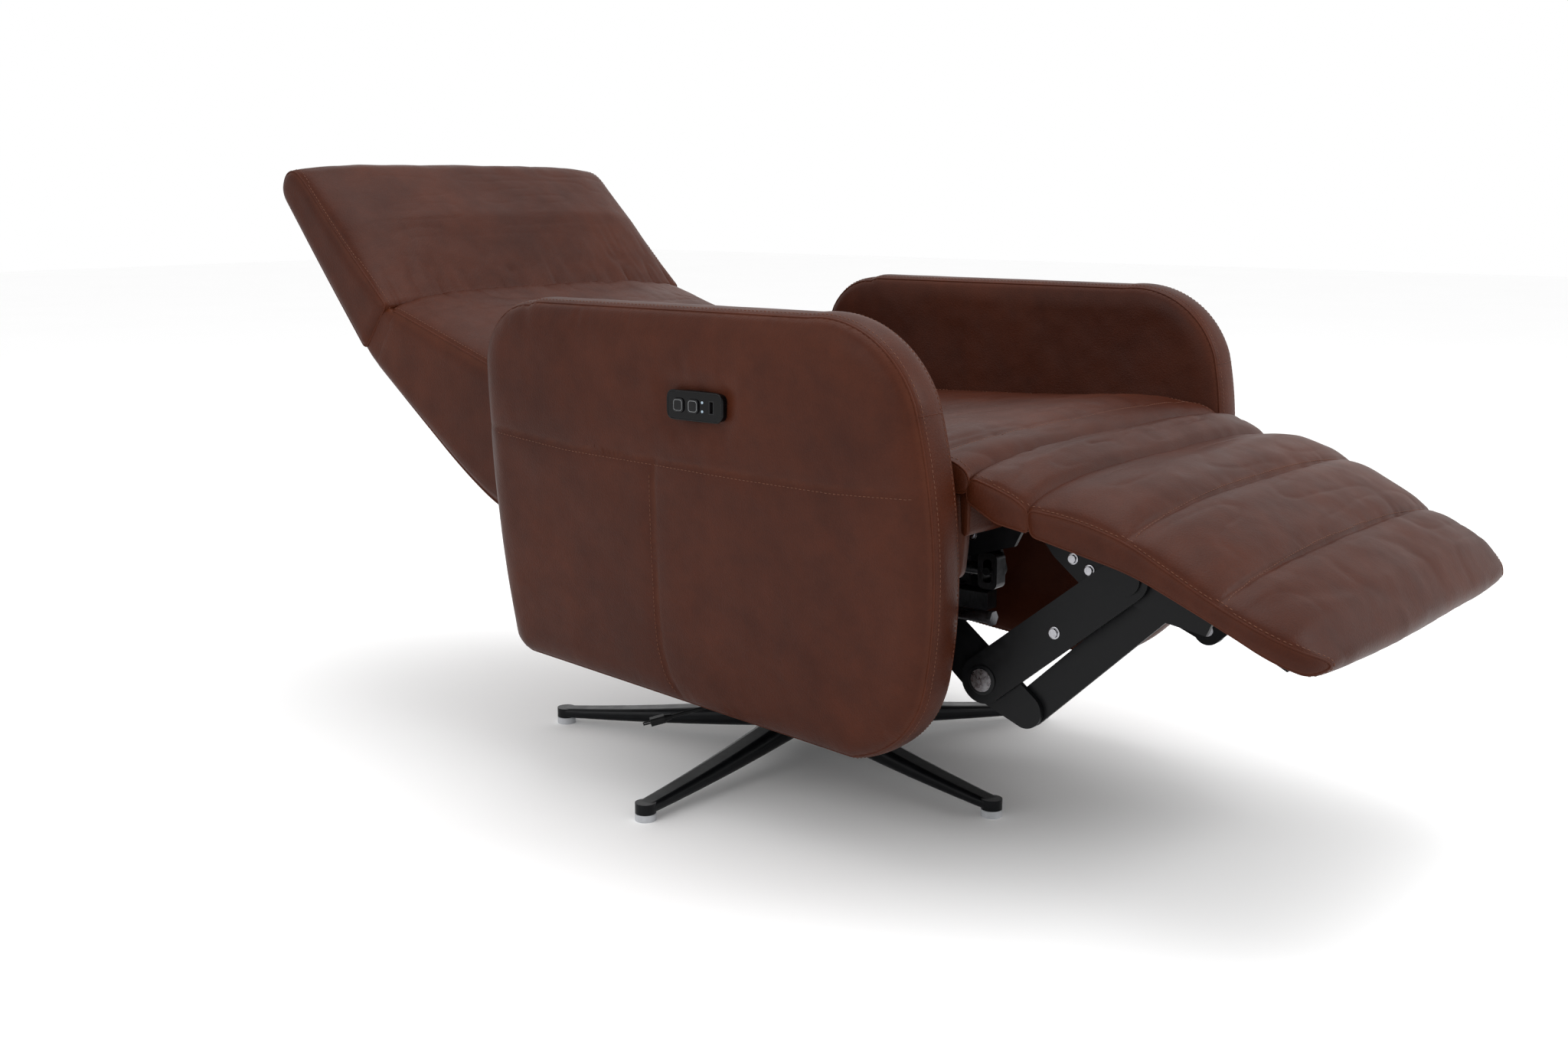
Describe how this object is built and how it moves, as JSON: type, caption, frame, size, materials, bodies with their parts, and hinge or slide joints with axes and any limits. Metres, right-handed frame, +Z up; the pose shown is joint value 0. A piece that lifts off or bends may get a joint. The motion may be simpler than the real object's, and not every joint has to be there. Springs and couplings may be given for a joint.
{
  "type": "recliner armchair",
  "caption": "Power recliner armchair in brown leather on a black star swivel base, with bowed slab arms, tilting headrest and a fold-out channelled footrest.",
  "frame": {"origin": "centre of the chair's outline on the floor, in the fully reclined pose", "axes": "+Z up, -Y the way the sitter faces, +X the sitter's left"},
  "size_m": [0.778, 1.548, 0.78],
  "materials": {
    "leather": "semi-gloss pull-up leather",
    "wood": "bare plywood",
    "base_metal": "satin powder coat",
    "frame_metal": "satin black",
    "link_metal": "satin black",
    "bare_steel": "zinc plated",
    "rod_steel": "dark ground steel",
    "bolt": "black zinc",
    "bearing": "acetal",
    "glide": "grey nylon",
    "board": "black board",
    "gloss_black": "piano black",
    "button": "gloss with a pale ring",
    "light": "lit diffuser",
    "socket": "dark plastic",
    "lead": "matt PVC",
    "lead_fitting": "moulded black",
    "motor": "grey-black cast housing"
  },
  "bodies": {
    "base": {"star_base": "base_metal", "foot_glides": "glide", "swivel_post": "bare_steel", "thrust_bearing": "bearing"},
    "chassis": {"swivel_housing": "frame_metal", "top_plate": "frame_metal", "chassis_frame": "frame_metal", "guide_rails": "bare_steel", "arm_brackets": "frame_metal", "chassis_bolts": "bolt", "arm_frame_left": "wood", "arm_frame_right": "wood", "arm_band_left": "leather", "arm_band_right": "leather", "arm_outer_panel_left": "leather", "arm_outer_panel_right": "leather", "arm_inner_panel_left": "leather", "arm_inner_panel_right": "leather", "control_bezel": "gloss_black", "status_lights": "light", "usb_socket": "socket", "power_lead": "lead", "lead_gland": "lead_fitting", "lead_plug": "lead_fitting"},
    "button_recline": {"button_recline": "button"},
    "button_upright": {"button_upright": "button"},
    "seat": {"mechanism_plates": "frame_metal", "slide_runners": "frame_metal", "seat_side_left": "leather", "seat_side_right": "leather", "seat_front_rail": "wood", "seat_rear_rail": "wood", "seat_springs": "bare_steel", "seat_cushion": "leather", "knee_pins": "bolt", "stabiliser_rods": "rod_steel", "actuator_cross_tube": "frame_metal", "actuator_motor": "motor", "actuator_tube": "rod_steel", "back_hinge_brackets": "frame_metal"},
    "actuator_rod": {"actuator_rod": "bare_steel"},
    "drive_linkage": {"torque_tube": "frame_metal", "crank_lever": "frame_metal", "drive_links": "link_metal", "link_pins": "bolt"},
    "long_link_left": {"long_link_left": "link_metal"},
    "long_link_right": {"long_link_right": "link_metal"},
    "idler_link_left": {"idler_link_left": "link_metal"},
    "idler_link_right": {"idler_link_right": "link_metal"},
    "footrest": {"footrest_brackets": "link_metal", "footrest_board": "board", "footrest_pad": "leather"},
    "back": {"back_cushion": "leather", "back_shell": "leather", "back_frame": "wood", "back_hinges": "frame_metal", "head_hinge_leaves": "frame_metal"},
    "headrest": {"headrest_frame": "wood", "head_hinges": "frame_metal", "headrest_pad": "leather"}
  },
  "joints": [
    {"name": "swivel", "type": "hinge", "parent": "base", "child": "chassis", "pos_m": [0, 0.058, 0.118], "axis": [0, 0, 1], "continuous": true},
    {"name": "seat_slide", "type": "slide", "parent": "chassis", "child": "seat", "axis": [0, 1, 0], "range_m": [0, 0.0182]},
    {"name": "footrest_fold", "type": "hinge", "parent": "seat", "child": "footrest", "pos_m": [0, -0.416, 0.442], "axis": [1, 0, 0], "range_deg": [0, 69]},
    {"name": "drive_link_turn", "type": "hinge", "parent": "seat", "child": "drive_linkage", "pos_m": [0, -0.202, 0.36], "axis": [1, 0, 0], "range_deg": [-0.5, 48]},
    {"name": "long_link_turn_left", "type": "hinge", "parent": "drive_linkage", "child": "long_link_left", "pos_m": [0.238, -0.373, 0.222], "axis": [1, 0, 0], "range_deg": [-50.4, 0.5]},
    {"name": "long_link_turn_right", "type": "hinge", "parent": "drive_linkage", "child": "long_link_right", "pos_m": [-0.238, -0.373, 0.222], "axis": [1, 0, 0], "range_deg": [-50.4, 0.5]},
    {"name": "idler_link_turn_left", "type": "hinge", "parent": "drive_linkage", "child": "idler_link_left", "pos_m": [0.224, -0.4239, 0.1943], "axis": [1, 0, 0], "range_deg": [-50.4, 0.5]},
    {"name": "idler_link_turn_right", "type": "hinge", "parent": "drive_linkage", "child": "idler_link_right", "pos_m": [-0.224, -0.4239, 0.1943], "axis": [1, 0, 0], "range_deg": [-50.4, 0.5]},
    {"name": "actuator_stroke", "type": "slide", "parent": "seat", "child": "actuator_rod", "axis": [0, 1, 0], "range_m": [0, 0.0646]},
    {"name": "back_recline", "type": "hinge", "parent": "seat", "child": "back", "pos_m": [0, 0.138, 0.44], "axis": [1, 0, 0], "range_deg": [0, 50]},
    {"name": "headrest_tilt", "type": "hinge", "parent": "back", "child": "headrest", "pos_m": [0, 0.561, 0.594], "axis": [1, 0, 0], "range_deg": [-14, 25]},
    {"name": "button_recline_press", "type": "slide", "parent": "chassis", "child": "button_recline", "axis": [1, 0, 0], "range_m": [0, 0.0015], "stiffness_N_per_m": 400},
    {"name": "button_upright_press", "type": "slide", "parent": "chassis", "child": "button_upright", "axis": [1, 0, 0], "range_m": [0, 0.0015], "stiffness_N_per_m": 400}
  ],
  "couplings": [
    {"joint": "seat_slide", "follows": "footrest_fold", "m_per_rad": 0.014733},
    {"joint": "drive_link_turn", "follows": "footrest_fold", "ratio": 0.682},
    {"joint": "actuator_stroke", "follows": "footrest_fold", "m_per_rad": 0.052958},
    {"joint": "long_link_turn_left", "follows": "footrest_fold", "ratio": -0.7195},
    {"joint": "long_link_turn_right", "follows": "footrest_fold", "ratio": -0.7195},
    {"joint": "idler_link_turn_left", "follows": "footrest_fold", "ratio": -0.7063},
    {"joint": "idler_link_turn_right", "follows": "footrest_fold", "ratio": -0.7063}
  ]
}
